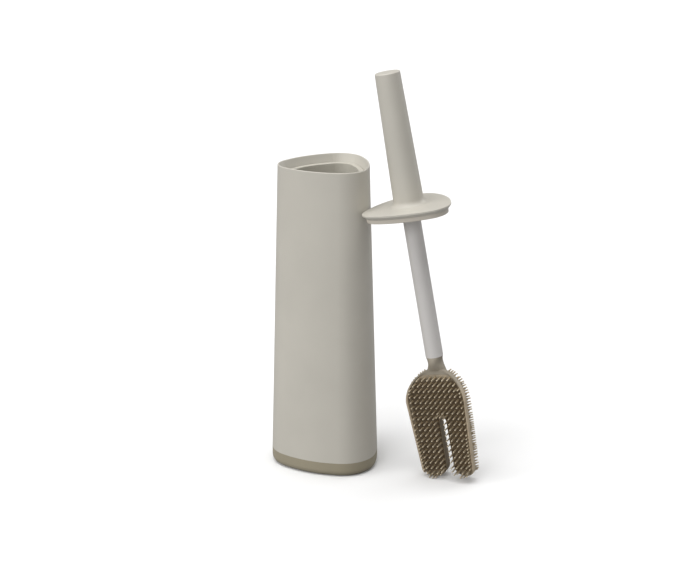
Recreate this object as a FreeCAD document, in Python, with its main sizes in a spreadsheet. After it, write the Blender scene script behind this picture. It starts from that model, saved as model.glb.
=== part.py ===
"""Toilet brush and holder: a slim, free-standing bathroom set.

Frame: millimetres, +Z up, the floor at Z = 0 and the origin on the holder's own axis.
The holder's plan is a rounded triangle with one corner toward -X and a flat side toward +X.
The brush is lifted out: it stands on its finger tips beside the holder and leans on the shell.
"""
import FreeCAD, Part
import math
import os

import Sketcher

Vector = FreeCAD.Vector
UP = Vector(0, 0, 1)

# Driving sizes in millimetres and degrees. Each one is written once, here.
SIZES = {
    # Plan of the holder at its rim: three corner arcs joined by three nearly flat side arcs.
    "corner_reach": 48.7,      # axis to the tip of a corner
    "corner_bend": 24.6,       # radius of a corner arc
    "side_bend": 89.0,         # radius of a side arc
    # Outer shell, wider at the foot than at the rim.
    "holder_height": 305.0,
    "seam_height": 14.0,
    "flare": 8.4,              # growth of the plan on every side, rim to seam
    "shell_wall": 2.2,
    "rim_wall": 1.6,
    "rim_round": 0.7,
    "funnel_depth": 10.0,
    "funnel_run": 3.5,
    "ledge_width": 3.2,
    "web_wall": 2.0,
    # Inner liner, a cup that hangs by its bead on the shell's ledge.
    "liner_gap": 0.3,
    "liner_wall": 1.6,
    "bead_height": 1.6,
    "bead_round": 0.6,
    "liner_draft": 2.0,
    "liner_base": 20.0,
    "liner_round": 5.0,
    "floor_overlap": 9.0,      # width of the floor that is swept with the wall
    # Base plate and the non-slip boot under it.
    "plate_wall": 2.4,
    "rib_half": 0.8,
    "rib_height": 6.0,
    "skirt_wall": 2.0,
    "skirt_rise": 9.0,         # how far the skirt plugs into the shell above the seam
    "base_gap": 0.15,
    "sole_wall": 2.0,
    "foot_round": 6.0,
    # Handle and lid, one hollow moulding.
    "lid_gap": 0.6,
    "lip_height": 1.0,
    "bevel": 3.0,
    "crown": 1.6,
    "handle_length": 128.6,
    "root_radius": 14.6,
    "top_radius": 12.0,
    "handle_wall": 2.4,
    "root_round": 5.0,
    "top_round": 1.2,
    # Plug under the lid, which closes the handle and carries the stem.
    "plug_height": 4.2,
    "plug_round": 0.8,
    "boss_gap": 0.9,
    # Stem tube.
    "stem_radius": 8.6,
    "stem_wall": 1.8,
    "stem_socket": 22.0,       # how far the stem reaches up inside the handle
    "stem_drop": 151.0,        # lid plane to the lower end of the stem
    "fit_gap": 0.1,
    # Neck of the head: a round waist that spreads into an oval and sinks into the back.
    "spigot_length": 24.0,
    "waist_radius": 8.3,
    "waist_fall": 11.0,        # lower end of the stem down to the waist
    "flare_fall": 16.5,
    "flare_half": 10.5,
    "flare_sink": 0.2,         # how far the neck is behind the front face there
    "flare_back": 5.0,
    "ridge_fall": 24.0,
    "ridge_half": 10.5,
    "ridge_sink": 1.6,
    "ridge_back": 3.2,
    "root_fall": 37.0,
    "root_half": 7.8,
    "root_sink": 2.6,
    "root_back": 2.6,
    # Head: a spoon-shaped paddle, hollow toward its front, split into two fingers.
    "front_turn": -38.1,       # the head's front against the lid, about the stem
    "head_drop": 273.9,        # lid plane to the finger tips
    "head_half": 30.9,         # half width at the shoulders
    "tip_half": 26.5,          # half width at the finger tips
    "crown_drop": 194.0,       # lid plane to the centre of the rounded shoulders
    "front_bend": 50.0,        # radius of the front edge, seen from above
    "floor_bend": 85.0,        # radius of the floor inside the rim
    "rim_band": 1.4,           # width of the rim round that floor
    "front_reach": 5.6,        # axis to the front face at the middle
    "back_bend": 40.0,
    "back_reach": 3.5,         # axis to the back face at the middle
    "dome_bend": 110.0,
    "slot_half": 3.4,
    "mouth_half": 3.9,
    "slot_drop": 214.0,
    "finger_flat": 1.2,        # straight stretch left between the roundings of a finger's end
    "overcut": 3.0,            # how far cuts run past an end
    # Bristle mats on the front and the back of the head.
    "mat_skin": 0.6,
    "mat_gap": 0.1,
    "mat_margin": 0.5,
    "mat_drop": 168.5,
    "column_pitch": 5.3,
    "row_pitch": 5.7,
    "root_thickness": 1.7,
    "tip_thickness": 1.2,
    "front_tips": 16.7,        # axis to the plane of the front bristle tips
    "rear_bristle": 5.5,
    "notch_half": 11.2,        # opening of the rear mat for the neck
    "notch_drop": 190.0,
    # How the brush stands beside the holder.
    "lean": 9.95,
    "lean_toward": 163.2,
    "brush_turn": 8.5,         # the whole brush about its own stem
    "stand_y": -60.7,          # where the leaning axis meets the floor
    "lean_gap": 0.3,
}

BRISTLE_SIDES = 5
TOLERANCE = 0.01

doc = FreeCAD.newDocument("ToiletBrushSet")
sheet = doc.addObject("Spreadsheet::Sheet", "Sizes")


def fill_sheet():
    """Write every driving size into the spreadsheet under its own alias."""
    for row, (name, number) in enumerate(SIZES.items(), start=1):
        sheet.set(f"A{row}", name)
        sheet.set(f"B{row}", str(number))
        sheet.setAlias(f"B{row}", name)
    doc.recompute()


def value(text):
    """Number that a sum of named sizes stands for, such as "rim_wall + lid_gap"."""
    total = 0.0
    sign = 1
    for word in text.split():
        if word in ("+", "-"):
            sign = 1 if word == "+" else -1
        else:
            total += sign * SIZES[word]
            sign = 1
    return total


def formula(text):
    """The same sum as an expression over the spreadsheet's cells."""
    words = [word if word in ("+", "-") else f"Sizes.{word}" for word in text.split()]
    return " ".join(words) or "0"


def opposite(text):
    """The same sum with every sign turned, for one that starts with a plain name."""
    return " ".join({"+": "-", "-": "+"}.get(word, word) for word in ["+"] + text.split())


# ---------------------------------------------------------------- sketch helpers

def plane_of(body, role):
    """One of the body's own origin planes, such as XY_Plane."""
    return next(item for item in body.Origin.OriginFeatures if item.Role == role)


def new_sketch(body, name, role, shift="0"):
    """Sketch on an origin plane of the body, moved along the plane's normal by an expression."""
    sketch = body.newObject("Sketcher::SketchObject", name)
    sketch.AttachmentSupport = [(plane_of(body, role), "")]
    sketch.MapMode = "FlatFace"
    sketch.setExpression("AttachmentOffset.Base.z", shift)
    return sketch


def bind(sketch, kind, where, number, expression):
    """Add one dimension and tie it to the spreadsheet."""
    index = sketch.addConstraint(Sketcher.Constraint(kind, *where, number))
    sketch.setExpression(f"Constraints[{index}]", expression)


def pin(sketch, item, point, x_text, y_text):
    """Fix a point of the sketch at (x, y), each a sum of named sizes."""
    for kind, text, axis in (("DistanceX", x_text, -2), ("DistanceY", y_text, -1)):
        number = value(text)
        if number:
            bind(sketch, kind, (-1, 1, item, point), number, formula(text))
        else:
            sketch.addConstraint(Sketcher.Constraint("PointOnObject", item, point, axis))


def add_polygon(sketch, points):
    """Closed polygon through (x, y) corners, each a sum of named sizes."""
    corners = [Vector(value(x_text), value(y_text), 0) for x_text, y_text in points]
    first = sketch.GeometryCount
    for start, end in zip(corners, corners[1:] + corners[:1]):
        sketch.addGeometry(Part.LineSegment(start, end), False)
    for index, (x_text, y_text) in enumerate(points):
        before = first + (index - 1) % len(points)
        sketch.addConstraint(Sketcher.Constraint("Coincident", before, 2, first + index, 1))
        pin(sketch, first + index, 1, x_text, y_text)


def add_rectangle(sketch, left, right, bottom, top):
    """Rectangle between four sums of named sizes."""
    add_polygon(sketch, [(left, bottom), (right, bottom), (right, top), (left, top)])


def add_arch(sketch, half, level, foot, foot_level):
    """Half circle standing on a trapezoid, both centred on the sketch's vertical axis."""
    top = sketch.addGeometry(arc_of(Vector(0, value(level), 0), value(half), 0, 180), False)
    corners = [Vector(-value(half), value(level), 0), Vector(-value(foot), value(foot_level), 0),
               Vector(value(foot), value(foot_level), 0), Vector(value(half), value(level), 0)]
    lines = [sketch.addGeometry(Part.LineSegment(*pair), False) for pair in zip(corners, corners[1:])]
    ring = [top] + lines
    for item, following in zip(ring, ring[1:] + ring[:1]):
        sketch.addConstraint(Sketcher.Constraint("Coincident", item, 2, following, 1))
    pin(sketch, top, 3, "", level)
    pin(sketch, top, 1, half, level)
    bind(sketch, "DistanceY", (-1, 1, top, 2), value(level), formula(level))
    pin(sketch, lines[0], 2, opposite(foot), foot_level)
    pin(sketch, lines[1], 2, foot, foot_level)


def add_oval(sketch, half, ahead, behind):
    """Ellipse across the axis, reaching ahead toward -Y and behind toward +Y."""
    middle = (value(behind) - value(ahead)) / 2
    depth = (value(behind) + value(ahead)) / 2
    centre = Vector(0, middle, 0)
    oval = Part.Ellipse(centre + Vector(value(half), 0, 0), centre + Vector(0, depth, 0), centre)
    item = sketch.addGeometry(oval, False)
    sketch.exposeInternalGeometry(item)
    long_axis, short_axis = item + 1, item + 2
    sketch.addConstraint(Sketcher.Constraint("PointOnObject", item, 3, -2))
    sketch.addConstraint(Sketcher.Constraint("Horizontal", long_axis))
    bind(sketch, "DistanceY", (-1, 1, item, 3), middle, f"(({formula(behind)}) - ({formula(ahead)})) / 2")
    bind(sketch, "Distance", (long_axis,), 2 * value(half), f"2 * ({formula(half)})")
    bind(sketch, "Distance", (short_axis,), 2 * depth, f"{formula(behind)} + {formula(ahead)}")


def add_circle(sketch, radius, level=""):
    """Circle centred on the sketch's vertical axis, both measures sums of named sizes."""
    circle = Part.Circle(Vector(0, value(level), 0), UP, value(radius))
    item = sketch.addGeometry(circle, False)
    pin(sketch, item, 3, "", level)
    bind(sketch, "Radius", (item,), value(radius), formula(radius))


def arc_of(centre, radius, start, end):
    """Arc of a circle between two directions in degrees."""
    circle = Part.Circle(centre, UP, radius)
    return Part.ArcOfCircle(circle, math.radians(start), math.radians(end))


def toward(degrees, distance):
    """Point at a distance from the axis in a given direction."""
    angle = math.radians(degrees)
    return Vector(distance * math.cos(angle), distance * math.sin(angle), 0)


# ---------------------------------------------------------------- the rounded triangle

CORNER_CENTRE = "(Sizes.corner_reach - Sizes.corner_bend)"
SIDE_CENTRE = (f"(sqrt((Sizes.side_bend - Sizes.corner_bend) ^ 2 - 0.75 * {CORNER_CENTRE} ^ 2)"
               f" - {CORNER_CENTRE} / 2)")
SIDE_REACH = f"Sizes.side_bend - {SIDE_CENTRE}"


def corner_centre():
    """Distance from the axis to the centre of each corner arc."""
    return value("corner_reach - corner_bend")


def side_centre():
    """Distance from the axis to the centre of each side arc, on the far side of the axis."""
    reach = corner_centre()
    return math.sqrt(value("side_bend - corner_bend") ** 2 - 0.75 * reach ** 2) - reach / 2


def add_outline(sketch, inset_text):
    """Rounded triangle, parallel to the rim's plan and inside it by a sum of named sizes."""
    corner = corner_centre()
    side = side_centre()
    inset = value(inset_text)
    corner_radius = SIZES["corner_bend"] - inset
    side_radius = SIZES["side_bend"] - inset
    half_side = math.degrees(math.atan2(corner * math.sin(math.radians(60)), corner / 2 + side))
    arcs = []
    for middle in (0, 120, 240):
        start = middle - half_side if middle else 0
        arcs.append(arc_of(toward(middle, -side), side_radius, start, middle + half_side))
        arcs.append(arc_of(toward(middle + 60, corner), corner_radius,
                           middle + half_side, middle + 120 - half_side))
    arcs.append(arc_of(toward(0, -side), side_radius, -half_side, 0))
    items = [sketch.addGeometry(arc, False) for arc in arcs]
    for item, following in zip(items, items[1:] + items[:1]):
        sketch.addConstraint(Sketcher.Constraint("Tangent", item, 2, following, 1))
    sketch.addConstraint(Sketcher.Constraint("PointOnObject", items[0], 1, -1))
    sketch.addConstraint(Sketcher.Constraint("PointOnObject", items[0], 3, -1))
    for item in items[0:5:2]:
        bind(sketch, "Radius", (item,), side_radius, f"Sizes.side_bend - ({formula(inset_text)})")
    for item, direction in zip(items[1:6:2], (60, 180, 300)):
        bind(sketch, "Radius", (item,), corner_radius, f"Sizes.corner_bend - ({formula(inset_text)})")
        place = toward(direction, corner)
        share = toward(direction, 1)
        bind(sketch, "DistanceX", (-1, 1, item, 3), place.x, f"{CORNER_CENTRE} * {share.x:.9f}")
        if direction == 180:
            sketch.addConstraint(Sketcher.Constraint("PointOnObject", item, 3, -1))
        else:
            bind(sketch, "DistanceY", (-1, 1, item, 3), place.y, f"{CORNER_CENTRE} * {share.y:.9f}")


def pad_outline(body, name, bottom, height_text, inset_text):
    """Straight pad of the rounded triangle, upward from a level given as an expression."""
    sketch = new_sketch(body, name + "_plan", "XY_Plane", bottom)
    add_outline(sketch, inset_text)
    pad = body.newObject("PartDesign::Pad", name)
    pad.Profile = sketch
    pad.setExpression("Length", formula(height_text))
    return pad


def sweep_wall(body, name, points):
    """Carry a wall section round the rounded triangle.

    The section's points are (distance outward from the rim's plan, height), as sums of sizes.
    """
    path = new_sketch(body, name + "_path", "XY_Plane")
    add_outline(path, "")
    section = new_sketch(body, name + "_section", "XZ_Plane")
    section.setExpression("AttachmentOffset.Base.x", SIDE_REACH)
    add_polygon(section, points)
    wall = body.newObject("PartDesign::AdditivePipe", name)
    wall.Profile = section
    wall.Spine = (path, [])
    return wall


def revolve(body, kind, name, sketch, axis="V_Axis"):
    """Full turn of a sketch about its own vertical axis, added or cut."""
    turn = body.newObject(f"PartDesign::{kind}", name)
    turn.Profile = sketch
    turn.ReferenceAxis = (sketch, [axis])
    turn.Angle = 360
    return turn


def cut_through(body, name, sketch):
    """Pocket through everything on both sides of its sketch."""
    pocket = body.newObject("PartDesign::Pocket", name)
    pocket.Profile = sketch
    pocket.Type = "ThroughAll"
    pocket.SideType = "Symmetric"
    return pocket


def treat_edges(body, kind, name, edges, expression):
    """Round (Fillet) or bevel (Chamfer) chosen edges of what the body has so far."""
    base = body.Tip
    feature = body.newObject(f"PartDesign::{kind}", name)
    feature.Base = (base, edges)
    feature.setExpression("Radius" if kind == "Fillet" else "Size", expression)
    doc.recompute()
    return feature


def level_edges(shape, level, radii):
    """Names of the level arcs of a shape at one height with one of the given radii."""
    chosen = []
    for index, edge in enumerate(shape.Edges, start=1):
        box = edge.BoundBox
        radius = getattr(edge.Curve, "Radius", 0)
        at_level = box.ZLength < TOLERANCE and abs(box.ZMin - value(level)) < TOLERANCE
        if at_level and any(abs(radius - wanted) < TOLERANCE for wanted in radii):
            chosen.append(f"Edge{index}")
    return chosen


def round_ring(body, name, offset, level, size, kind="Fillet"):
    """Treat the edge that runs round the body at a distance outward from the rim's plan."""
    doc.recompute()
    radii = (value("corner_bend") + value(offset), value("side_bend") + value(offset))
    return treat_edges(body, kind, name, level_edges(body.Shape, level, radii), formula(size))


def round_turned(body, name, radius, level, size):
    """Round the circular edge of a turned body."""
    doc.recompute()
    edges = level_edges(body.Shape, level, (value(radius),))
    return treat_edges(body, "Fillet", name, edges, formula(size))


# ---------------------------------------------------------------- holder

def make_outer_shell():
    """Tall shell with a thin rim, a funnel mouth and the ledge that the liner hangs on."""
    body = doc.addObject("PartDesign::Body", "outer_shell")
    ledge = "holder_height - funnel_depth"
    hole = "- rim_wall - funnel_run - ledge_width"
    sweep_wall(body, "shell_wall_ring", [
        ("", "holder_height"),
        ("- rim_wall", "holder_height"),
        ("- rim_wall - funnel_run", ledge),
        (hole, ledge),
        (hole, ledge + " - web_wall"),
        ("- rim_wall - funnel_run + web_wall", ledge + " - web_wall"),
        ("- shell_wall", ledge + " + web_wall"),
        ("flare - shell_wall", "seam_height"),
        ("flare", "seam_height"),
    ])
    round_ring(body, "rim_outside", "", "holder_height", "rim_round")
    round_ring(body, "rim_inside", "- rim_wall", "holder_height", "rim_round")
    return body


def make_inner_liner():
    """Removable cup: a rounded bead on the ledge, a drafted wall and a closed floor."""
    body = doc.addObject("PartDesign::Body", "inner_liner")
    seat = "holder_height - funnel_depth + liner_gap"
    bead = "- rim_wall - funnel_run - liner_gap"
    outside = "- rim_wall - funnel_run - ledge_width - liner_gap"
    inside = outside + " - liner_wall"
    sweep_wall(body, "liner_wall_ring", [
        (bead, seat),
        (bead, seat + " + bead_height"),
        (inside, seat + " + bead_height"),
        (inside + " - liner_draft", "liner_base + liner_wall"),
        (inside + " - floor_overlap", "liner_base + liner_wall"),
        (inside + " - floor_overlap", "liner_base"),
        (outside + " - liner_draft", "liner_base"),
        (outside, seat),
    ])
    round_ring(body, "bead_outside", bead, seat + " + bead_height", "bead_round")
    round_ring(body, "bead_inside", inside, seat + " + bead_height", "bead_round")
    round_ring(body, "floor_inside", inside + " - liner_draft", "liner_base + liner_wall",
               "liner_round - liner_wall")
    round_ring(body, "floor_outside", outside + " - liner_draft", "liner_base", "liner_round")
    inset = "rim_wall + funnel_run + ledge_width + liner_gap + liner_wall + floor_overlap"
    pad_outline(body, "liner_floor", "Sizes.liner_base", "liner_wall", inset)
    return body


def make_base_plate():
    """Ribbed plate that closes the shell, with a skirt that plugs into it."""
    body = doc.addObject("PartDesign::Body", "base_plate")
    outside = "flare - shell_wall - base_gap"
    sweep_wall(body, "skirt", [
        (outside, "sole_wall"),
        (outside, "seam_height"),
        (outside + " - base_gap", "seam_height + skirt_rise"),
        (outside + " - base_gap - skirt_wall", "seam_height + skirt_rise"),
        (outside + " - skirt_wall", "sole_wall"),
    ])
    pad_outline(body, "plate", "Sizes.sole_wall", "plate_wall", "shell_wall + base_gap - flare")
    rib_sketch = new_sketch(body, "rib_plan", "XY_Plane", "Sizes.sole_wall + Sizes.plate_wall")
    add_rectangle(rib_sketch, "- corner_reach - flare", "corner_reach + flare", "- rib_half", "rib_half")
    rib = body.newObject("PartDesign::Pad", "rib")
    rib.Profile = rib_sketch
    rib.setExpression("Length", "Sizes.rib_height")
    doc.recompute()
    ribs = body.newObject("PartDesign::PolarPattern", "ribs")
    ribs.Originals = [rib]
    ribs.Axis = (rib_sketch, ["N_Axis"])
    ribs.Angle = 360
    ribs.Occurrences = 3
    body.Tip = ribs
    doc.recompute()
    trim_to_outline(body, "rib_ends", "shell_wall + base_gap - flare")
    return body


def make_base_boot():
    """Soft foot: a cup round the base plate, flush with the shell and well rounded below."""
    body = doc.addObject("PartDesign::Body", "base_boot")
    inside = "flare - shell_wall"
    sweep_wall(body, "boot_wall", [
        ("flare", "seam_height"),
        (inside, "seam_height"),
        (inside, "sole_wall"),
        (inside + " - floor_overlap", "sole_wall"),
        (inside + " - floor_overlap", ""),
        ("flare", ""),
    ])
    round_ring(body, "foot_edge", "flare", "", "foot_round")
    pad_outline(body, "sole", "0", "sole_wall", "shell_wall + floor_overlap - flare")
    return body


# ---------------------------------------------------------------- brush, upright about its own axis

def trim_to_outline(body, name, inset_text):
    """Cut away everything outside the rounded triangle."""
    sketch = new_sketch(body, name + "_plan", "XY_Plane")
    add_circle(sketch, "corner_reach + corner_reach")
    add_outline(sketch, inset_text)
    return cut_through(body, name, sketch)


def make_handle():
    """Hollow tapered grip that spreads into the lid, one moulding; Z = 0 is the lid's edge."""
    body = doc.addObject("PartDesign::Body", "handle")
    sketch = new_sketch(body, "grip_section", "XZ_Plane")
    under = "- lip_height - bevel"
    add_polygon(sketch, [
        ("root_radius - handle_wall", under),
        ("corner_reach", under),
        ("corner_reach", ""),
        ("root_radius", "crown"),
        ("top_radius", "handle_length"),
        ("", "handle_length"),
        ("", "handle_length - handle_wall"),
        ("top_radius - handle_wall", "handle_length - handle_wall"),
    ])
    revolve(body, "Revolution", "grip_and_lid", sketch)
    round_turned(body, "grip_root", "root_radius", "crown", "root_round")
    round_turned(body, "grip_top", "top_radius", "handle_length", "top_round")
    trim_to_outline(body, "lid_outline", "rim_wall + lid_gap")
    round_ring(body, "lid_bevel", "- rim_wall - lid_gap", under, "bevel", "Chamfer")
    return body


def make_lid_plug():
    """Plug under the lid: it closes the grip and holds the stem in a boss."""
    body = doc.addObject("PartDesign::Body", "lid_plug")
    top = "- lip_height - bevel"
    bottom = top + " - plug_height"
    boss = "root_radius - handle_wall - boss_gap"
    bore = "stem_radius + fit_gap"
    edge = "- rim_wall - funnel_run - lid_gap"
    sweep_wall(body, "plug_edge", [
        (edge, top),
        (edge + " - floor_overlap", top),
        (edge + " - floor_overlap", bottom),
        (edge, bottom),
    ])
    round_ring(body, "plug_rounding", edge, bottom, "plug_round")
    pad_outline(body, "plug_plate", formula(bottom), "plug_height",
                "rim_wall + funnel_run + lid_gap + floor_overlap")
    sketch = new_sketch(body, "boss_section", "XZ_Plane")
    add_rectangle(sketch, bore, boss, bottom, "stem_socket")
    revolve(body, "Revolution", "stem_boss", sketch)
    doc.recompute()
    bore_sketch = new_sketch(body, "bore_plan", "XY_Plane")
    add_circle(bore_sketch, bore)
    cut_through(body, "stem_bore", bore_sketch)
    return body


def make_stem_tube():
    """Straight tube from inside the grip down to the neck of the head."""
    body = doc.addObject("PartDesign::Body", "stem_tube")
    sketch = new_sketch(body, "tube_plan", "XY_Plane", "-Sizes.stem_drop")
    add_circle(sketch, "stem_radius")
    add_circle(sketch, "stem_radius - stem_wall")
    tube = body.newObject("PartDesign::Pad", "tube")
    tube.Profile = sketch
    tube.setExpression("Length", "Sizes.stem_drop + Sizes.stem_socket")
    return body


# ---------------------------------------------------------------- head, its front facing -Y

FINGER_ROUND = "(Sizes.tip_half - Sizes.mouth_half - Sizes.finger_flat) / 2"


def turn_dome(body, kind, name, grown=""):
    """Turn the head's back, straight below the shoulders and domed above them, grown by a sum."""
    sketch = new_sketch(body, name + "_section", "XZ_Plane", "Sizes.back_bend - Sizes.back_reach")
    radius = "back_bend" + grown
    bend = "dome_bend" + grown
    bottom = "- head_drop - overcut"
    centre = Vector(value(radius) - value(bend), -SIZES["crown_drop"], 0)
    shoulder = centre + Vector(value(bend), 0, 0)
    top = centre + Vector(-centre.x, math.sqrt(value(bend) ** 2 - centre.x ** 2), 0)
    start_angle = 0
    end_angle = math.degrees(math.atan2(top.y - centre.y, -centre.x))
    arc = sketch.addGeometry(arc_of(centre, value(bend), start_angle, end_angle), False)
    low_axis = Vector(0, value(bottom), 0)
    low_side = Vector(value(radius), value(bottom), 0)
    corners = [top, low_axis, low_side, shoulder]
    axis, floor, side = [sketch.addGeometry(Part.LineSegment(*pair), False)
                         for pair in zip(corners, corners[1:])]
    for item, following in zip((arc, axis, floor), (axis, floor, side)):
        sketch.addConstraint(Sketcher.Constraint("Coincident", item, 2, following, 1))
    sketch.addConstraint(Sketcher.Constraint("Tangent", side, 2, arc, 1))
    sketch.addConstraint(Sketcher.Constraint("PointOnObject", arc, 2, -2))
    pin(sketch, axis, 2, "", bottom)
    pin(sketch, floor, 2, radius, bottom)
    pin(sketch, side, 2, radius, "- crown_drop")
    bind(sketch, "Radius", (arc,), value(bend), formula(bend))
    turn = revolve(body, kind, name, sketch)
    doc.recompute()
    return turn


def hollow_front(body, name, bend, shrunk=""):
    """Scoop the front with a cylinder along the brush's axis, made smaller by a sum."""
    sketch = new_sketch(body, name + "_plan", "XY_Plane")
    add_circle(sketch, bend + shrunk, "- front_reach - " + bend)
    cut_through(body, name, sketch)
    doc.recompute()


def cut_behind_floor(body, name, shrunk=""):
    """Remove what lies behind the floor of the head's hollow, moved forward by a sum."""
    sketch = new_sketch(body, name + "_plan", "XY_Plane")
    add_frame(sketch)
    add_circle(sketch, "floor_bend" + shrunk, "- front_reach - floor_bend")
    cut_through(body, name, sketch)
    doc.recompute()


def add_frame(sketch):
    """Large square round a sketch, so that a pocket removes what lies outside its inner loop."""
    far = "head_drop + head_drop"
    add_rectangle(sketch, opposite(far), far, opposite(far), far)


def trim_to_front_view(body, prefix, margin=""):
    """Trim to the head's outline and its open slot as seen from the front, less a margin."""
    less = " - " + margin if margin else ""
    more = " + " + margin if margin else ""
    edge = new_sketch(body, prefix + "_edge_view", "XZ_Plane")
    add_frame(edge)
    add_arch(edge, "head_half" + less, "- crown_drop", "tip_half" + less, "- head_drop" + more)
    cut_through(body, prefix + "_edge", edge)
    doc.recompute()
    slot = new_sketch(body, prefix + "_slot_view", "XZ_Plane")
    add_arch(slot, "slot_half" + more, "- slot_drop - slot_half", "mouth_half" + more,
             "- head_drop - overcut")
    cut_through(body, prefix + "_slot", slot)
    doc.recompute()
    ends = []
    for index, edge in enumerate(body.Shape.Edges, start=1):
        box = edge.BoundBox
        low = abs(box.ZMin - value("- head_drop" + more)) < TOLERANCE
        if low and box.ZLength < TOLERANCE and box.XLength < TOLERANCE:
            ends.append(f"Edge{index}")
    treat_edges(body, "Fillet", prefix + "_finger_ends", ends, f"{FINGER_ROUND} - ({formula(margin)})")


def trim_to_rim(body, name, gap=""):
    """Trim to the inside of the head's rim, less a gap; the finger ends have no rim."""
    sketch = new_sketch(body, name + "_view", "XZ_Plane")
    add_frame(sketch)
    add_arch(sketch, "head_half - rim_band" + gap, "- crown_drop", "tip_half - rim_band" + gap,
             "- head_drop - overcut")
    cut_through(body, name, sketch)
    doc.recompute()


def front_blank(body, top):
    """Slab from the axis forward to the bristle tips, wider than the head, up to a level."""
    sketch = new_sketch(body, "blank_view", "XZ_Plane")
    add_rectangle(sketch, "- head_half", "head_half", "- head_drop - overcut", top)
    pad = body.newObject("PartDesign::Pad", "blank")
    pad.Profile = sketch
    pad.setExpression("Length", "Sizes.front_tips")
    doc.recompute()


def make_hollow():
    """What is taken out of the head's front, inside its rim and down to its floor."""
    body = doc.addObject("PartDesign::Body", "hollow")
    front_blank(body, "")
    trim_to_rim(body, "hollow_edge")
    cut_behind_floor(body, "hollow_floor")
    return body


def make_head_core():
    """Paddle: a domed back, a hollow front in a rim, two round-ended fingers and a neck."""
    core = doc.addObject("Part::Cut", "head_core")
    core.Base = make_paddle()
    core.Tool = make_hollow()
    core.Refine = False
    return core


def make_paddle():
    """Head and neck before the hollow inside the rim."""
    body = doc.addObject("PartDesign::Body", "paddle")
    turn_dome(body, "Revolution", "dome")
    hollow_front(body, "front_edge", "front_bend")
    trim_to_front_view(body, "head")
    rows = (
        ("", "stem_radius", "stem_radius", "stem_radius"),
        ("waist_fall", "waist_radius", "waist_radius", "waist_radius"),
        ("flare_fall", "flare_half", "front_reach - flare_sink", "flare_back"),
        ("ridge_fall", "ridge_half", "front_reach - ridge_sink", "ridge_back"),
        ("root_fall", "root_half", "front_reach - root_sink", "root_back"),
    )
    sections = []
    for index, (fall, half, ahead, behind) in enumerate(rows):
        level = f"-Sizes.stem_drop - {formula(fall)}"
        section = new_sketch(body, f"neck_section_{index}", "XY_Plane", level)
        if half == ahead:
            add_circle(section, half)
        else:
            add_oval(section, half, ahead, behind)
        sections.append(section)
    neck = body.newObject("PartDesign::AdditiveLoft", "neck")
    neck.Profile = sections[0]
    neck.Sections = sections[1:]
    doc.recompute()
    spigot_plan = new_sketch(body, "spigot_plan", "XY_Plane", "-Sizes.stem_drop")
    add_circle(spigot_plan, "stem_radius - stem_wall - fit_gap")
    spigot = body.newObject("PartDesign::Pad", "spigot")
    spigot.Profile = spigot_plan
    spigot.setExpression("Length", "Sizes.spigot_length")
    return body


def cut_window(body, name, left, right, bottom, top):
    """Pocket a rectangle of the front view through the body."""
    sketch = new_sketch(body, name + "_view", "XZ_Plane")
    add_rectangle(sketch, left, right, bottom, top)
    cut_through(body, name, sketch)
    doc.recompute()


def make_front_skin():
    """Thin skin of the front bristle mat, on the floor inside the rim."""
    body = doc.addObject("PartDesign::Body", "front_skin")
    front_blank(body, "- mat_drop")
    trim_to_front_view(body, "front_skin", "mat_margin")
    trim_to_rim(body, "front_skin_edge", " - mat_gap")
    hollow_front(body, "front_skin_face", "floor_bend", " - mat_gap - mat_skin")
    cut_behind_floor(body, "front_skin_back", " - mat_gap")
    return body


def make_rear_skin():
    """Thin skin of the rear bristle mat, on the domed back and open round the neck."""
    body = doc.addObject("PartDesign::Body", "rear_skin")
    turn_dome(body, "Revolution", "rear_skin_face", " + mat_gap + mat_skin")
    hollow_front(body, "rear_skin_half", "front_bend")
    trim_to_front_view(body, "rear_skin", "mat_margin")
    cut_window(body, "neck_notch", "- notch_half", "notch_half", "- notch_drop", "- mat_drop + head_half")
    turn_dome(body, "Groove", "rear_skin_back", " + mat_gap")
    return body


def half_width(drop):
    """Half the width of the head at a distance below the lid plane, below its shoulders."""
    share = max(0.0, (drop - SIZES["crown_drop"]) / value("head_drop - crown_drop"))
    return SIZES["head_half"] + (SIZES["tip_half"] - SIZES["head_half"]) * share


def rim_distance(across, drop):
    """Distance inside the head's outer edge, seen from the front."""
    return half_width(drop) - math.hypot(across, min(0.0, drop - SIZES["crown_drop"]))


def edge_distance(across, drop):
    """Distance inside the head's front view from its edge, its slot and its round finger ends."""
    end = SIZES["head_drop"]
    half = half_width(drop)
    slot_top = value("slot_drop + slot_half")
    slot_share = max(0.0, (drop - slot_top) / (end - slot_top))
    slot = SIZES["slot_half"] + (SIZES["mouth_half"] - SIZES["slot_half"]) * slot_share
    distances = [rim_distance(across, drop),
                 math.hypot(across, min(0.0, drop - slot_top)) - slot]
    radius = value("tip_half - mouth_half - finger_flat") / 2
    into_end = drop - (end - radius)
    if into_end > 0:
        into_side = max(0.0, across - (half - radius), slot + radius - across)
        distances.append(radius - math.hypot(into_end, into_side))
    return min(distances)


def fits(across, drop, rim=0.0):
    """Whether a bristle root lies on the skin, clear of its edges and of a rim of some width."""
    clear = SIZES["root_thickness"] / 2
    inside_rim = rim_distance(abs(across), drop) > rim + clear
    return inside_rim and edge_distance(abs(across), drop) > SIZES["mat_margin"] + clear


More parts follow.
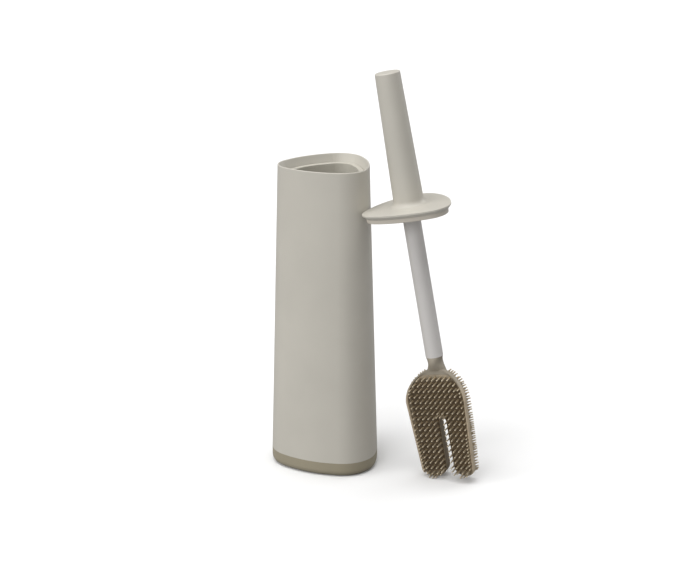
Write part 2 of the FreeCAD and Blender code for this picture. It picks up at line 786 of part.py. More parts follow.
def bristle(foot, skin_normal, tip, across, along):
    """Tapered bristle with flat sides, from the skin's tangent plane at its foot up to a tip ring.

    Seen from the foot, along lies a quarter turn counterclockwise of across.
    """
    tip_radius = value("tip_thickness") / 2
    root_radius = value("root_thickness") / 2
    apex = tip + (tip - foot) * (tip_radius / (root_radius - tip_radius))
    roots = []
    tips = []
    for index in range(BRISTLE_SIDES):
        angle = 2 * math.pi * index / BRISTLE_SIDES
        corner = tip + (across * math.cos(angle) + along * math.sin(angle)) * tip_radius
        ray = corner - apex
        tips.append(corner)
        roots.append(apex + ray * ((foot - apex).dot(skin_normal) / ray.dot(skin_normal)))
    rings = zip(roots, roots[1:] + roots[:1], tips[1:] + tips[:1], tips)
    faces = [Part.Face(Part.makePolygon([*ring, ring[0]])) for ring in (roots, tips, *rings)]
    return Part.makeSolid(Part.makeShell(faces))


def front_bristles():
    """Grid of bristles, all straight ahead, their tips flush in one plane."""
    radius = value("floor_bend - mat_gap") - SIZES["mat_skin"] / 2
    middle = value("front_reach + floor_bend")
    count = int(SIZES["head_half"] / SIZES["column_pitch"])
    solids = []
    for column in range(-count, count + 1):
        across = column * SIZES["column_pitch"]
        depth = middle - math.sqrt(radius ** 2 - across ** 2)
        normal = Vector(-across, depth - middle, 0) / radius
        for row in range(int(value("head_drop - mat_drop") / SIZES["row_pitch"])):
            drop = SIZES["mat_drop"] + (row + 0.5) * SIZES["row_pitch"]
            if fits(across, drop, value("rim_band + mat_gap")):
                solids.append(bristle(Vector(across, -depth, -drop), normal,
                                      Vector(across, -SIZES["front_tips"], -drop),
                                      Vector(-1, 0, 0), UP))
    return solids


def rear_bristles():
    """Short bristles square to the domed back, in columns about its axis."""
    turn = SIZES["column_pitch"] / SIZES["back_bend"]
    count = int(math.pi / 2 / turn)
    axis_y = -value("back_bend - back_reach")
    lift = value("mat_gap") + SIZES["mat_skin"] / 2
    bend = SIZES["dome_bend"]
    solids = []
    for column in range(-count, count + 1):
        outward = Vector(math.sin(column * turn), math.cos(column * turn), 0)
        across = Vector(outward.y, -outward.x, 0)
        for row in range(-int(value("head_drop - crown_drop") / SIZES["row_pitch"]),
                         int(value("crown_drop - mat_drop") / SIZES["row_pitch"]) + 1):
            rise = (row + 0.5) * SIZES["row_pitch"]
            slope = max(0.0, rise) / bend
            normal = outward * math.cos(slope) + UP * math.sin(slope)
            along = UP * math.cos(slope) - outward * math.sin(slope)
            reach = SIZES["back_bend"] - bend + bend * math.cos(slope)
            height = min(0.0, rise) + bend * math.sin(slope) - SIZES["crown_drop"]
            foot = outward * reach + Vector(0, axis_y, height)
            notched = (abs(foot.x) < SIZES["notch_half"] + SIZES["root_thickness"] / 2
                       and -height < SIZES["notch_drop"] + SIZES["root_thickness"] / 2)
            if fits(foot.x, -height) and not notched:
                solids.append(bristle(foot + normal * lift, normal,
                                      foot + normal * SIZES["rear_bristle"], across, along))
    return solids


def make_mat(name, skin, solids):
    """Join a skin with its bristles, which follow the outline and so fit no regular pattern."""
    field = doc.addObject("Part::Feature", name + "_bristles")
    field.Shape = Part.makeCompound(solids)
    mat = doc.addObject("Part::MultiFuse", name)
    mat.Shapes = [skin, field]
    mat.Refine = False
    return mat


# ---------------------------------------------------------------- the brush beside the holder

def lowest(shapes):
    """Height of the lowest point of some shapes."""
    far = 4 * SIZES["head_drop"]
    floor = Part.makePlane(2 * far, 2 * far, Vector(-far, -far, -far))
    return min(shape.distToShape(floor)[0] for shape in shapes) - far


def stand_brush(grip, head, shell):
    """Lean the brush, stand it on its finger tips and slide it until its lid is at the shell."""
    lid = grip[0]
    tilt = FreeCAD.Rotation(UP.cross(toward(SIZES["lean_toward"], 1)), SIZES["lean"])
    turned = tilt.multiply(FreeCAD.Rotation(UP, SIZES["brush_turn"]))
    front = turned.multiply(FreeCAD.Rotation(UP, SIZES["front_turn"]))

    def place(origin):
        for item in grip:
            item.Placement = FreeCAD.Placement(origin, turned)
        for item in head:
            item.Placement = FreeCAD.Placement(origin, front)

    place(Vector(0, 0, 0))
    rise = -lowest([item.Shape for item in head])
    axis = tilt.multVec(UP)
    origin = axis * (rise / axis.z) + Vector(3 * SIZES["corner_reach"], SIZES["stand_y"], 0)
    place(origin)
    gap = lid.Shape.distToShape(shell.Shape)[0]
    while abs(gap - SIZES["lean_gap"]) > TOLERANCE:
        origin.x -= gap - SIZES["lean_gap"]
        place(origin)
        gap = lid.Shape.distToShape(shell.Shape)[0]


def build():
    """Make every piece of the set and return them in their places."""
    fill_sheet()
    shell = make_outer_shell()
    holder = [shell, make_inner_liner(), make_base_plate(), make_base_boot()]
    grip = [make_handle(), make_lid_plug(), make_stem_tube()]
    head = [make_head_core(),
            make_mat("front_bristle_mat", make_front_skin(), front_bristles()),
            make_mat("rear_bristle_mat", make_rear_skin(), rear_bristles())]
    doc.recompute()
    stand_brush(grip, head, shell)
    doc.recompute()
    return holder + grip + head


def check(pieces):
    """Stop if any feature failed or any piece is not one sound solid."""
    for item in doc.Objects:
        if "Invalid" in item.State or "Error" in item.State:
            raise RuntimeError(f"{item.Name} failed")
    for piece in pieces:
        shape = piece.Shape
        if shape.isNull() or not shape.isValid() or len(shape.Solids) != 1:
            raise RuntimeError(f"{piece.Label} is not one valid solid")


def export(pieces):
    """Write one STEP file for each piece."""
    os.makedirs("parts", exist_ok=True)
    for piece in pieces:
        piece.Shape.exportStep(f"parts/{piece.Label}.step")


pieces = build()
check(pieces)
export(pieces)
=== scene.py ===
"""Looks of the toilet brush set: materials, bristle mats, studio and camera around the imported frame."""
import math
import random

import bmesh
import bpy
from mathutils import Matrix, Vector
from mathutils.geometry import delaunay_2d_cdt


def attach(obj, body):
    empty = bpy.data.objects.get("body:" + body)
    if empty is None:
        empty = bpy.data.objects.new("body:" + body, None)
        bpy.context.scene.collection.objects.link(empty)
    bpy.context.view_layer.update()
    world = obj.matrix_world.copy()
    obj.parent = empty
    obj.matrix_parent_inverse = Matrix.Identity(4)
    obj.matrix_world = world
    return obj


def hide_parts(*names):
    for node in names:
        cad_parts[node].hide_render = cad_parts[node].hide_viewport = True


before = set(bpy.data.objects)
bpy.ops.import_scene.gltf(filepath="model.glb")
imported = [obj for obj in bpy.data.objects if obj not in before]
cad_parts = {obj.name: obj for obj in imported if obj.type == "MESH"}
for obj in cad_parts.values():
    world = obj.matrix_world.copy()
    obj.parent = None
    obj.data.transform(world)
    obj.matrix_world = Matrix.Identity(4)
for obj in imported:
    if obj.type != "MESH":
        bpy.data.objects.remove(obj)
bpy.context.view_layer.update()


# ---------------------------------------------------------------- the head's frame and sizes

# The head's frame leans with the brush. Its origin is where the stem's axis meets the lid's underside.
# +Z runs up that axis, and the head's hollow front faces -Y. A drop is a distance down from the origin.
# The sizes are those of part.py, apart from two: there 214 mm is the drop of the slot's top, not of its
# centre, and the rear bristles are 0.2 mm longer.
MM = 0.001
LID_PLANE = Vector((73.706, -46.859, 272.982)) * MM     # the origin
LEAN, LEAN_TOWARD, HEAD_TURN = 9.95, 163.2, -29.6       # degrees

HEAD_DROP = 273.9 * MM         # finger tips
CROWN_DROP = 194.0 * MM        # centre of the rounded shoulders
MAT_DROP = 168.5 * MM          # upper edge of the front mat
SLOT_DROP = 214.0 * MM         # centre of the slot's round top in the skins
NOTCH_DROP = 190.0 * MM        # lower edge of the rear mat's notch for the neck
HEAD_HALF = 30.9 * MM          # half width at the shoulders
TIP_HALF = 26.5 * MM           # half width at the finger tips
SLOT_HALF = 3.4 * MM           # half width of the slot at its top
MOUTH_HALF = 3.9 * MM          # half width of the slot at its open end
NOTCH_HALF = 11.2 * MM
FINGER_ROUND = 10.7 * MM       # rounding of the fingers' ends
FRONT_REACH = 5.6 * MM         # axis to the front face at the middle
FLOOR_BEND = 85.0 * MM         # radius of the hollow's floor, seen from above
FRONT_TIPS = 16.7 * MM         # axis to the plane of the front bristle tips
BACK_REACH = 3.5 * MM          # axis to the back face at the middle
BACK_BEND = 40.0 * MM          # radius of the back, seen from above
DOME_BEND = 110.0 * MM         # radius of the back over the shoulders' centre, seen from the side
REAR_LENGTH = 5.3 * MM         # the head's back to the tips of the rear bristles
RIM_BAND = 1.4 * MM            # bare rim round the front mat
MARGIN = 0.5 * MM              # from slot and finger tips to a mat, and from the sides to the rear mat
COLUMN_PITCH = 5.3 * MM
ROW_PITCH = 5.7 * MM
MAT_GAP = 0.1 * MM             # head to skin
MAT_SKIN = 0.6 * MM            # thickness of the skins

toward = math.radians(LEAN_TOWARD)
HEAD = (Matrix.Translation(LID_PLANE)
        @ Matrix.Rotation(math.radians(LEAN), 4, Vector((-math.sin(toward), math.cos(toward), 0)))
        @ Matrix.Rotation(math.radians(HEAD_TURN), 4, "Z"))


# ---------------------------------------------------------------- colour and node helpers

GRAIN_DEPTH = 0.03 * MM        # spark-eroded grain of the moulds
GRAIN_SCALE = 2600             # the plastics' grain
SOFT_GRAIN_SCALE = 2000        # the grain of the head and the skins
GLOSS_SCALE = 60               # patches of gloss
CLOUD_SCALE = 14               # flow clouds in the plastics
CLOUD_TINT = 0.035             # share by which those clouds lighten and darken a plastic


def linear(red, green, blue):
    """Linear colour with full alpha from 0-255 sRGB values."""
    channels = []
    for level in (red, green, blue):
        share = level / 255
        channels.append(share / 12.92 if share <= 0.04045 else ((share + 0.055) / 1.055) ** 2.4)
    return (*channels, 1.0)


def scaled(colour, factor):
    """The colour made lighter or darker."""
    return (*(min(1.0, channel * factor) for channel in colour[:3]), 1.0)


class Nodes:
    """Small builder for the node tree of a material or a world."""

    def __init__(self, owner):
        owner.use_nodes = True
        self.owner = owner
        self.tree = owner.node_tree
        self.tree.nodes.clear()

    def add(self, kind, **settings):
        """A new node with its settings."""
        node = self.tree.nodes.new(kind)
        for key, setting in settings.items():
            setattr(node, key, setting)
        return node

    def feed(self, source, socket):
        """Set a socket to a plain number, or link it to another node's output."""
        if isinstance(source, (int, float)):
            socket.default_value = source
        else:
            self.tree.links.new(source, socket)

    def local(self):
        """Place in the piece's own coordinates, which ride with it."""
        return self.add("ShaderNodeTexCoord").outputs["Object"]

    def in_head(self, axis):
        """Coordinate along an axis of the head's frame."""
        way = HEAD.col[axis].xyz
        product = self.add("ShaderNodeVectorMath", operation="DOT_PRODUCT")
        product.inputs[1].default_value = way
        self.feed(self.local(), product.inputs[0])
        return self.calculate("SUBTRACT", product.outputs["Value"], way.dot(LID_PLANE))

    def noise(self, scale, detail, rough=0.5):
        """Noise that rides with the piece."""
        node = self.add("ShaderNodeTexNoise")
        for socket, source in (("Vector", self.local()), ("Scale", scale),
                               ("Detail", detail), ("Roughness", rough)):
            self.feed(source, node.inputs[socket])
        return node.outputs["Fac"]

    def ramp(self, source, stops):
        """Colour from a number, by stops of (place, colour)."""
        node = self.add("ShaderNodeValToRGB")
        ramp = node.color_ramp
        while len(ramp.elements) < len(stops):
            ramp.elements.new(0.5)
        for element, (place, colour) in zip(ramp.elements, stops):
            element.position = place
            element.color = colour
        self.feed(source, node.inputs["Fac"])
        return node.outputs["Color"]

    def mapped(self, source, low, high, to_low, to_high):
        """A number moved from one range to another, and kept inside it."""
        node = self.add("ShaderNodeMapRange")
        for socket, number in zip(("From Min", "From Max", "To Min", "To Max"), (low, high, to_low, to_high)):
            self.feed(number, node.inputs[socket])
        self.feed(source, node.inputs["Value"])
        return node.outputs["Result"]

    def spread(self, noise, low, high):
        """A noise widened from its usual span to another."""
        return self.mapped(noise, 0.3, 0.7, low, high)

    def calculate(self, operation, *sources, clamp=False):
        """Result of a math node on numbers and outputs."""
        node = self.add("ShaderNodeMath", operation=operation, use_clamp=clamp)
        for source, socket in zip(sources, node.inputs):
            self.feed(source, socket)
        return node.outputs["Value"]

    def uneven(self, source, scale, detail, swing):
        """A number with noise added, up or down by as much as the swing."""
        return self.calculate("ADD", source, self.spread(self.noise(scale, detail), -swing, swing))

    def gloss(self, roughness):
        """Roughness in soft patches."""
        return self.spread(self.noise(GLOSS_SCALE, 3), roughness - 0.04, roughness + 0.05)

    def shader(self, colour, roughness, specular, grain, grain_strength=0.35):
        """Shader with fine grain, as the material's surface."""
        bump = self.add("ShaderNodeBump")
        self.feed(grain_strength, bump.inputs["Strength"])
        self.feed(GRAIN_DEPTH, bump.inputs["Distance"])
        self.feed(self.noise(grain, 3, 0.6), bump.inputs["Height"])
        shader = self.add("ShaderNodeBsdfPrincipled")
        for socket, source in (("Base Color", colour), ("Roughness", roughness),
                               ("Specular IOR Level", specular), ("Normal", bump.outputs["Normal"])):
            self.feed(source, shader.inputs[socket])
        self.finish(shader.outputs["BSDF"])
        return shader

    def finish(self, surface, output="ShaderNodeOutputMaterial"):
        """Make a shader's output the surface of the material or world."""
        self.feed(surface, self.add(output).inputs["Surface"])


# ---------------------------------------------------------------- materials

RIM_TONE_AND_LIGHT_FROM, RIM_TONE_AND_LIGHT_TO = 168 * MM, 192 * MM               # drops at which the rim's colour starts and is full: browner, and lighter as painted light on the raised rim
SHADE_FULL, SHADE_END = 4.2 * MM, 6.4 * MM              # the slot's shade, from the middle to either side
SHADE_RISE = 5 * MM            # how far over the slot that shade starts


def moulded(name, colour, roughness, grain=GRAIN_SCALE, sheen=0.0, specular=0.5):
    """Moulded plastic or rubber: fine spark-eroded grain, faint flow clouds, uneven gloss."""
    nodes = Nodes(bpy.data.materials.new(name))
    darker, lighter = scaled(colour, 1 - CLOUD_TINT), scaled(colour, 1 + CLOUD_TINT)
    colours = nodes.ramp(nodes.noise(CLOUD_SCALE, 4, 0.55), [(0.3, darker), (0.7, lighter)])
    shader = nodes.shader(colours, nodes.gloss(roughness), specular, grain)
    shader.inputs["Sheen Weight"].default_value = sheen
    return nodes.owner


def head_rubber(neck, rim, slot):
    """Rubber of the head, browner round the bristles than at the neck and lighter there as painted light on
    the raised rim, and darker down in the slot.

    The darker shade stands for the one that the close bristles cast in there.
    """
    nodes = Nodes(bpy.data.materials.new("head_rubber"))
    height = nodes.in_head(2)
    aside = nodes.calculate("ABSOLUTE", nodes.in_head(0))
    below_neck = nodes.uneven(nodes.mapped(height, -RIM_TONE_AND_LIGHT_FROM, -RIM_TONE_AND_LIGHT_TO, 0, 1), 90, 4, 0.2)
    between_fingers = nodes.mapped(aside, SHADE_FULL, SHADE_END, 1, 0)
    below_slot_top = nodes.mapped(height, SHADE_RISE - SLOT_DROP, -SLOT_DROP, 0, 1)
    in_slot = nodes.calculate("MULTIPLY", between_fingers, below_slot_top)
    slot_share = nodes.calculate("MULTIPLY", in_slot, 0.4)
    shade = nodes.calculate("MULTIPLY_ADD", below_neck, 0.6, slot_share, clamp=True)
    colours = nodes.ramp(shade, [(0.06, neck), (0.54, rim), (0.62, rim), (0.95, slot)])
    nodes.shader(colours, nodes.gloss(0.58), 0.35, SOFT_GRAIN_SCALE)
    return nodes.owner


def mat_rubber(edge, field):
    """Rubber skin between the bristles, darker and browner in its field than along its edge; the darkness is
    painted shade among the bristles.
    """
    nodes = Nodes(bpy.data.materials.new("mat_rubber"))
    place = nodes.add("ShaderNodeAttribute", attribute_name="from_edge").outputs["Fac"]
    colours = nodes.ramp(nodes.uneven(place, 220, 3, 0.15), [(0.0, edge), (0.85, field)])
    nodes.shader(colours, 0.6, 0.3, SOFT_GRAIN_SCALE)
    return nodes.owner


def bristle_rubber(root, tip):
    """Soft rubber of the bristles, darker at the roots than at the tips: painted shade among the bristles."""
    nodes = Nodes(bpy.data.materials.new("bristle_rubber"))
    place = nodes.add("ShaderNodeAttribute", attribute_name="toward_tip").outputs["Fac"]
    middle = tuple((a + b) / 2 for a, b in zip(root, tip))
    colours = nodes.ramp(nodes.uneven(place, 180, 3, 0.12), [(0.05, root), (0.55, middle), (0.95, tip)])
    shader = nodes.shader(colours, 0.48, 0.4, 2400, 0.3)
    shader.inputs["Subsurface Weight"].default_value = 0.1
    shader.inputs["Subsurface Radius"].default_value = (1.2 * MM, 0.9 * MM, 0.6 * MM)
    return nodes.owner


def paint(node, material):
    """Give a CAD node's object one material in each of its slots."""
    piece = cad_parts[node]
    if not piece.material_slots:
        piece.data.materials.append(material)
    for slot in piece.material_slots:
        slot.material = material


paint("outer_shell", moulded("shell_plastic", linear(190, 186, 176), 0.46))
paint("inner_liner", moulded("liner_plastic", linear(188, 184, 173), 0.42))
paint("base_plate", moulded("base_plastic", linear(150, 146, 138), 0.5))
paint("base_boot", moulded("boot_rubber", linear(150, 142, 122), 0.62, grain=1800, sheen=0.08, specular=0.35))
paint("handle", moulded("grip_plastic", linear(191, 187, 177), 0.44))
paint("lid_plug", moulded("plug_plastic", linear(198, 191, 179), 0.48))
paint("stem_tube", moulded("stem_plastic", linear(203, 200, 197), 0.34))
# The head's rim colour is browner than the neck's and lighter as painted light; its slot colour is painted
# shade.
paint("head_core", head_rubber(linear(150, 142, 128), linear(186, 170, 146), linear(126, 112, 92)))
# The skin's dark field colour is painted shade among the bristles.
mat_look = mat_rubber(linear(146, 134, 114), linear(84, 70, 51))
# The bristles' darker roots are painted shade among the bristles.
bristle_look = bristle_rubber(linear(148, 131, 104), linear(202, 189, 165))


# ---------------------------------------------------------------- smooth shading of the carried-over nodes

SHARP_EDGE = 28                # degrees between faces, over which an edge of a CAD node stays sharp


def shade_smooth(mesh):
    """Smooth shading on each face of a mesh."""
    mesh.polygons.foreach_set("use_smooth", [True] * len(mesh.polygons))


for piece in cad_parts.values():
    shade_smooth(piece.data)
    piece.modifiers.new("edges", "EDGE_SPLIT").split_angle = math.radians(SHARP_EDGE)


# ---------------------------------------------------------------- a mat's outline, seen from the front

SHOULDER_STEPS, CORNER_STEPS, SLOT_STEPS = 14, 8, 6     # lines that make up each arc of an outline
TINY = 1e-7


def arc(centre, radius, first, last, steps):
    """Points of an arc between two angles in degrees from +X."""
    angles = [math.radians(first + (last - first) * step / steps) for step in range(steps + 1)]
    return [centre + Vector((math.cos(angle), math.sin(angle))) * radius for angle in angles]


def rounded(before, corner, after, radius):
    """Points of the arc that rounds a corner between two other points."""
    back, ahead = (before - corner).normalized(), (after - corner).normalized()
    half = back.angle(ahead) / 2
    centre = corner + (back + ahead).normalized() * (radius / math.sin(half))
    first, last = (math.degrees(math.atan2(*reversed(corner + way * (radius / math.tan(half)) - centre)))
                   for way in (back, ahead))
    return arc(centre, radius, first, first + (last - first + 180) % 360 - 180, CORNER_STEPS)


def half_outline(inset, crown, margin=MARGIN):
    """Right half of an outline inside the head, from its crown down the side and up the slot."""
    shoulder, slot_top = Vector((0, -CROWN_DROP)), Vector((0, -SLOT_DROP))
    reach, slot = HEAD_HALF - inset, SLOT_HALF + margin
    end = margin - HEAD_DROP
    share = (-end - CROWN_DROP) / (HEAD_DROP - CROWN_DROP)
    outer = Vector((reach + (TIP_HALF - HEAD_HALF) * share, end))
    inner = Vector((MOUTH_HALF + margin, end))
    radius = FINGER_ROUND - (inset + margin) / 2
    side = shoulder + Vector((reach, 0))
    from_crown = math.degrees(math.atan2(crown[-1].y + CROWN_DROP, crown[-1].x))
    return (crown + arc(shoulder, reach, from_crown, 0, SHOULDER_STEPS)[1:]
            + rounded(side, outer, inner, radius)
            + rounded(outer, inner, slot_top + Vector((slot, 0)), radius)
            + arc(slot_top, slot, 0, 90, SLOT_STEPS))


def outline(inset, crown):
    """Closed outline of a mat, the same on both sides."""
    right = half_outline(inset, crown)
    left = [Vector((-point.x, point.y)) for point in reversed(right) if point.x > TINY]
    return right + left


def segment_gap(point, a, b):
    """Distance from a point to the line between two others."""
    run = b - a
    share = max(0.0, min(1.0, (point - a).dot(run) / run.length_squared))
    return (a + run * share - point).length


def room(point, ring):
    """Distance from a point to a ring of points, negative outside the ring."""
    inside = False
    nearest = math.inf
    for a, b in zip(ring, ring[1:] + ring[:1]):
        run = b - a
        nearest = min(nearest, segment_gap(point, a, b))
        if (a.y > point.y) != (b.y > point.y) and point.x < a.x + run.x * (point.y - a.y) / run.y:
            inside = not inside
    return nearest if inside else -nearest


# ---------------------------------------------------------------- skins

SKIN_STEP = 2.6 * MM           # spacing of the points inside a skin
SKIN_COLUMNS, SKIN_ROWS = 30, 50                        # enough points for either skin
RIM_FADE, LEVEL_FADE = 3 * MM, 8 * MM                   # reach of the edge's colour from rim and level edges, before the field's painted shade
SLOT_REACH = 14 * MM           # below the shoulders, edges nearer to the middle than this are the slot's
THIN_REACH, THINNEST = 3 * MM, 0.1                      # a skin thins near its level edges, to this share


def on_floor(point, lift):
    """Place over the floor of the head's hollow front, at a point seen from the front."""
    radius = FLOOR_BEND - lift
    return Vector((point.x, math.sqrt(radius ** 2 - point.x ** 2) - FRONT_REACH - FLOOR_BEND, point.y))


def on_dome(point, lift):
    """Place over the domed back, at a point seen from the front."""
    rise = max(0.0, point.y + CROWN_DROP)
    bend = DOME_BEND + lift
    reach = BACK_BEND - DOME_BEND + math.sqrt(bend ** 2 - rise ** 2)
    return Vector((point.x, BACK_REACH - BACK_BEND + math.sqrt(reach ** 2 - point.x ** 2), point.y))


def add_skin(mesh, from_edge, ring, surface):
    """Closed sheet over a surface, inside a ring of points.

    It thins out along its level edges, which are the one by the neck and the ones at the fingers' ends.
    from_edge rises from 0 at its edges to 1, apart from the slot's edges, which don't count.
    """
    outer = [(a, b, LEVEL_FADE if a.y == b.y else RIM_FADE) for a, b in zip(ring, ring[1:] + ring[:1])
             if min(abs(a.x), abs(b.x)) > SLOT_REACH or min(a.y, b.y) > -CROWN_DROP]
    level = [(a, b) for a, b, _ in outer if a.y == b.y]
    low = Vector((min(point.x for point in ring), min(point.y for point in ring)))
    grid = [Vector((low.x + SKIN_STEP * (column + 0.5 * (row % 2)), low.y + SKIN_STEP * row))
            for column in range(SKIN_COLUMNS) for row in range(SKIN_ROWS)]
    points = ring + [point for point in grid if room(point, ring) > 0.5 * SKIN_STEP]
    edges = [(index, (index + 1) % len(ring)) for index in range(len(ring))]
    flat, _, faces, *_ = delaunay_2d_cdt(points, edges, [], 1, TINY)
    over = []
    for point in flat:
        full = min(segment_gap(point, a, b) for a, b in level) / THIN_REACH
        vert = mesh.verts.new(surface(point, MAT_GAP + MAT_SKIN * max(THINNEST, min(1.0, full))))
        vert[from_edge] = min(1.0, min(segment_gap(point, a, b) / fade for a, b, fade in outer))
        over.append(vert)
    under = [mesh.verts.new(surface(point, MAT_GAP)) for point in flat]
    for face in faces:
        mesh.faces.new([over[index] for index in face])
        mesh.faces.new([under[index] for index in reversed(face)])
    twin = dict(zip(over, under))
    for edge in [edge for edge in mesh.edges if len(edge.link_faces) == 1]:
        a, b = edge.verts
        if a in twin:
            mesh.faces.new((a, b, twin[b], twin[a]))


def finish_piece(name, mesh, material, node=None):
    """Turn a bmesh into a piece that rides on the brush, in place of a CAD node if one is named."""
    bmesh.ops.recalc_face_normals(mesh, faces=mesh.faces)
    bmesh.ops.transform(mesh, matrix=HEAD, verts=mesh.verts)
    data = bpy.data.meshes.new(name)
    mesh.to_mesh(data)
    mesh.free()
    shade_smooth(data)
    data.materials.append(material)
    piece = bpy.data.objects.new(name, data)
    bpy.context.collection.objects.link(piece)
    if node:
        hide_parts(node)
    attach(piece, "brush_body")


def make_skin(name, node, ring, surface):
    """Skin that stands for a CAD mat."""
    mesh = bmesh.new()
    add_skin(mesh, mesh.verts.layers.float.new("from_edge"), ring, surface)
    finish_piece(name, mesh, mat_look, node)


# ---------------------------------------------------------------- bristles

BRISTLE_SIDES = 8
BRISTLE_SEED, LEAN_SPREAD = 7, 0.012                    # bristles lean a little, each its own way
FIELD_ROOM, EDGE_ROOM = 0.85 * MM, 0.8 * MM             # least distance from a foot to the mat's edge
EDGE_WALK = 0.5 * MM           # distance between the places tried along an edge
FRONT_EDGE_INSET = RIM_BAND + 1.3 * MM                  # from the head's side to the edge row of the front
FRONT_EDGE_MARGIN = 1.4 * MM   # from the slot and the fingers' ends to that row
FRONT_EDGE_START = 0.9         # where that row starts, as a share of its own half width
FRONT_EDGE_SPACING = 3.4 * MM  # least distance from that row's bristles to all others
REAR_EDGE_INSET = 1.5 * MM     # from the head's side, slot and fingers' ends to the edge row of the back
REAR_EDGE_START = NOTCH_HALF + 1.2 * MM                 # from the middle to where that row starts
REAR_EDGE_SPACING = 2.0 * MM


def add_bristle(mesh, toward_tip, foot, axis, length, settle):
    """Tapered round bristle with a flared root and a rounded, slightly swollen tip."""
    across = axis.orthogonal().normalized()
    along = axis.cross(across)
    end_height = length / MM
    # Height and radius of each ring, in millimetres.
    profile = [(0.0, 1.4), (0.35, 1.05), (0.9, 0.88), (0.5 * end_height, 0.73), (end_height - 1.6, 0.62),
               (end_height - 0.95, 0.7), (end_height - 0.45, 0.68), (end_height - 0.12, 0.42)]
    rings = []
    for height, radius in profile:
        ring = []
        for side in range(BRISTLE_SIDES):
            angle = 2 * math.pi * side / BRISTLE_SIDES
            outward = across * math.cos(angle) + along * math.sin(angle)
            place = foot + (axis * height + outward * radius) * MM
            vert = mesh.verts.new(place if height else settle(place))
            vert[toward_tip] = height * MM / length
            ring.append(vert)
        rings.append(ring)
    end = mesh.verts.new(foot + axis * length)
    end[toward_tip] = 1.0
    for ring, following in zip(rings, rings[1:]):
        for side in range(BRISTLE_SIDES):
            ahead = (side + 1) % BRISTLE_SIDES
            mesh.faces.new((ring[side], ring[ahead], following[ahead], following[side]))
    for side in range(BRISTLE_SIDES):
        mesh.faces.new((rings[-1][side], rings[-1][(side + 1) % BRISTLE_SIDES], end))


def make_bristles(name, feet):
    """Bristles from a list of (foot, axis, length, function that lays a point under the skin)."""
    mesh = bmesh.new()
    toward_tip = mesh.verts.layers.float.new("toward_tip")
    chance = random.Random(BRISTLE_SEED)
    for foot, axis, length, settle in feet:
        lean = Vector([chance.gauss(0, LEAN_SPREAD) for _ in range(3)])
        add_bristle(mesh, toward_tip, foot, (axis + lean).normalized(), length, settle)
    finish_piece(name, mesh, bristle_look)


def front_foot(place):
    """A front bristle's foot, axis, length to the tips' plane, and way to lay a point under the skin."""
    foot = on_floor(place, MAT_GAP + MAT_SKIN)
    return (foot, Vector((0, -1, 0)), FRONT_TIPS + foot.y,
            lambda point: on_floor(Vector((point.x, point.z)), MAT_GAP))


def rear_foot(place):
    """A rear bristle's foot, axis square to the dome, length, and way to lay a point under the skin."""
    top = MAT_GAP + MAT_SKIN
    base = on_dome(place, 0)
    slope = math.asin(max(0.0, place.y + CROWN_DROP) / DOME_BEND)
    outward = Vector((base.x, base.y + BACK_BEND - BACK_REACH, 0)).normalized()
    normal = outward * math.cos(slope) + Vector((0, 0, math.sin(slope)))
    return (base + normal * top, normal, REAR_LENGTH - top,
            lambda point: on_dome(Vector((point.x, point.z)), MAT_GAP))


def edge_row(ring, taken, start, inset, margin, spacing):
    """Places along a mat's edge on both halves, wherever those taken leave room for one.

    The row starts over the shoulders' centre, at a distance from the middle, and runs down the side, round
    the finger and up the slot.
    """
    crown = Vector((start, 0))
    crown.y = math.sqrt((HEAD_HALF - inset) ** 2 - crown.x ** 2) - CROWN_DROP
    path = half_outline(inset, [crown], margin)
    taken = list(taken)
    places = []
    walked = 0.0
    for a, b in zip(path, path[1:]):
        run = (b - a).length
        while walked < run:
            place = a.lerp(b, walked / run)
            if room(place, ring) > EDGE_ROOM and min((place - other).length for other in taken) > spacing:
                taken.append(place)
                places += [place, Vector((-place.x, place.y))]
            walked += EDGE_WALK
        walked -= run
    return places


def front_feet(ring):
    """Straight ahead from the floor of the hollow, tips flush in one plane."""
    columns = int(HEAD_HALF / COLUMN_PITCH)
    rows = int((HEAD_DROP - MAT_DROP) / ROW_PITCH)
    places = [Vector((column * COLUMN_PITCH, -MAT_DROP - (row + 0.5) * ROW_PITCH))
              for column in range(-columns, columns + 1) for row in range(rows)]
    places = [place for place in places if room(place, ring) > FIELD_ROOM]
    start = FRONT_EDGE_START * (HEAD_HALF - FRONT_EDGE_INSET)
    places += edge_row(ring, places, start, FRONT_EDGE_INSET, FRONT_EDGE_MARGIN, FRONT_EDGE_SPACING)
    return [front_foot(place) for place in places]


def rear_feet(ring):
    """Square to the domed back, in columns about its axis."""
    turn = COLUMN_PITCH / BACK_BEND
    columns = int(math.pi / 2 / turn)
    rows_down = int((HEAD_DROP - CROWN_DROP) / ROW_PITCH)
    rows_up = int((CROWN_DROP - MAT_DROP) / ROW_PITCH) + 1
    places = []
    for column in range(-columns, columns + 1):
        for row in range(-rows_down, rows_up):
            rise = (row + 0.5) * ROW_PITCH
            slope = max(0.0, rise) / DOME_BEND
            reach = BACK_BEND - DOME_BEND + DOME_BEND * math.cos(slope)
            height = min(0.0, rise) + DOME_BEND * math.sin(slope) - CROWN_DROP
            place = Vector((reach * math.sin(column * turn), height))
            if room(place, ring) > FIELD_ROOM:
                places.append(place)
    places += edge_row(ring, places, REAR_EDGE_START, REAR_EDGE_INSET, REAR_EDGE_INSET, REAR_EDGE_SPACING)
    return [rear_foot(place) for place in places]


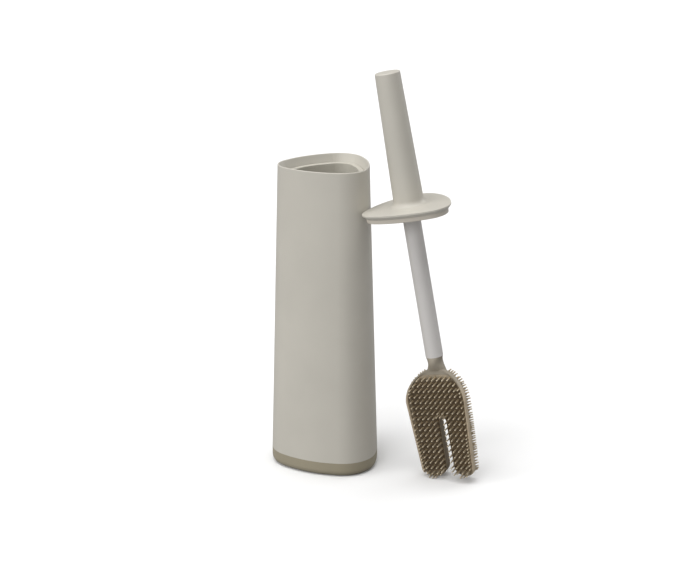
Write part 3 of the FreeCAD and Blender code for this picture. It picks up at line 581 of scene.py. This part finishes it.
front_half = HEAD_HALF - RIM_BAND - MAT_GAP
front_top = math.sqrt(front_half ** 2 - (CROWN_DROP - MAT_DROP) ** 2)
front_ring = outline(RIM_BAND + MAT_GAP, [Vector((0, -MAT_DROP)), Vector((front_top, -MAT_DROP))])
notch_rise = math.sqrt((HEAD_HALF - MARGIN) ** 2 - NOTCH_HALF ** 2)
rear_ring = outline(MARGIN, [Vector((0, -NOTCH_DROP)), Vector((NOTCH_HALF, -NOTCH_DROP)),
                             Vector((NOTCH_HALF, notch_rise - CROWN_DROP))])
make_skin("front_mat_skin", "front_bristle_mat", front_ring, on_floor)
make_skin("rear_mat_skin", "rear_bristle_mat", rear_ring, on_dome)
make_bristles("front_mat_bristles", front_feet(front_ring))
make_bristles("rear_mat_bristles", rear_feet(rear_ring))


# ---------------------------------------------------------------- studio

FLOOR_HALF = 12.0              # metres from its middle to its sides
FLOOR_LIT, FLOOR_SEEN = 0.33, 0.84                      # its grey in bounced light, and for the camera
AMBIENT = 0.19                 # strength of the surroundings, where 1 is white
# Name, azimuth, elevation, strength as a share of pi, spread. The angles are in degrees.
SUNS = (("left", 192, 24, 0.24, 35),
        ("front", 239, 22, 0.33, 35),
        ("right", 30, 20, 0.26, 40),
        ("top", 200, 82, 0.88, 60))
CAMERA_PLACE = Vector((-0.1280, -1.6417, 0.6807))
CAMERA_AIM = Vector((0.0212, -0.0019, 0.1836))
SENSOR_WIDTH, LENS = 36.0, 89.8                         # millimetres


def make_floor():
    """Pale floor that the camera sees as white, with the object's shadow on it."""
    corners = [(x * FLOOR_HALF, y * FLOOR_HALF, 0) for x, y in ((-1, -1), (1, -1), (1, 1), (-1, 1))]
    mesh = bpy.data.meshes.new("floor")
    mesh.from_pydata(corners, [], [(0, 1, 2, 3)])
    floor = bpy.data.objects.new("floor", mesh)
    bpy.context.collection.objects.link(floor)
    nodes = Nodes(bpy.data.materials.new("floor_white"))
    path = nodes.add("ShaderNodeLightPath")
    diffuse = nodes.add("ShaderNodeBsdfDiffuse")
    grey = nodes.mapped(path.outputs["Is Camera Ray"], 0, 1, FLOOR_LIT, FLOOR_SEEN)
    nodes.feed(grey, diffuse.inputs["Color"])
    nodes.finish(diffuse.outputs["BSDF"])
    mesh.materials.append(nodes.owner)


def make_world():
    """Even grey surroundings that the camera sees as white."""
    world = bpy.data.worlds.new("studio")
    bpy.context.scene.world = world
    nodes = Nodes(world)
    path = nodes.add("ShaderNodeLightPath")
    seen = nodes.calculate("MAXIMUM", path.outputs["Is Camera Ray"], path.outputs["Is Transmission Ray"])
    background = nodes.add("ShaderNodeBackground")
    background.inputs["Color"].default_value = (1, 1, 1, 1)
    nodes.feed(nodes.mapped(seen, 0, 1, AMBIENT, 1), background.inputs["Strength"])
    nodes.finish(background.outputs["Background"], "ShaderNodeOutputWorld")


def add_sun(name, azimuth, elevation, strength, spread):
    """Broad, even light from a direction."""
    lamp = bpy.data.lights.new(name, "SUN")
    lamp.energy = strength * math.pi
    lamp.angle = math.radians(spread)
    item = bpy.data.objects.new(name, lamp)
    turn, lift = math.radians(azimuth), math.radians(elevation)
    source = Vector((math.cos(turn) * math.cos(lift), math.sin(turn) * math.cos(lift), math.sin(lift)))
    item.rotation_euler = source.to_track_quat("Z", "Y").to_euler()
    bpy.context.collection.objects.link(item)


def add_camera():
    """The photograph's view."""
    data = bpy.data.cameras.new("camera")
    data.sensor_width = SENSOR_WIDTH
    data.lens = LENS
    camera = bpy.data.objects.new("camera", data)
    camera.location = CAMERA_PLACE
    camera.rotation_euler = (CAMERA_AIM - CAMERA_PLACE).to_track_quat("-Z", "Y").to_euler()
    bpy.context.collection.objects.link(camera)
    bpy.context.scene.camera = camera


make_floor()
make_world()
for sun in SUNS:
    add_sun(*sun)
add_camera()
bpy.context.scene.view_settings.view_transform = "Standard"
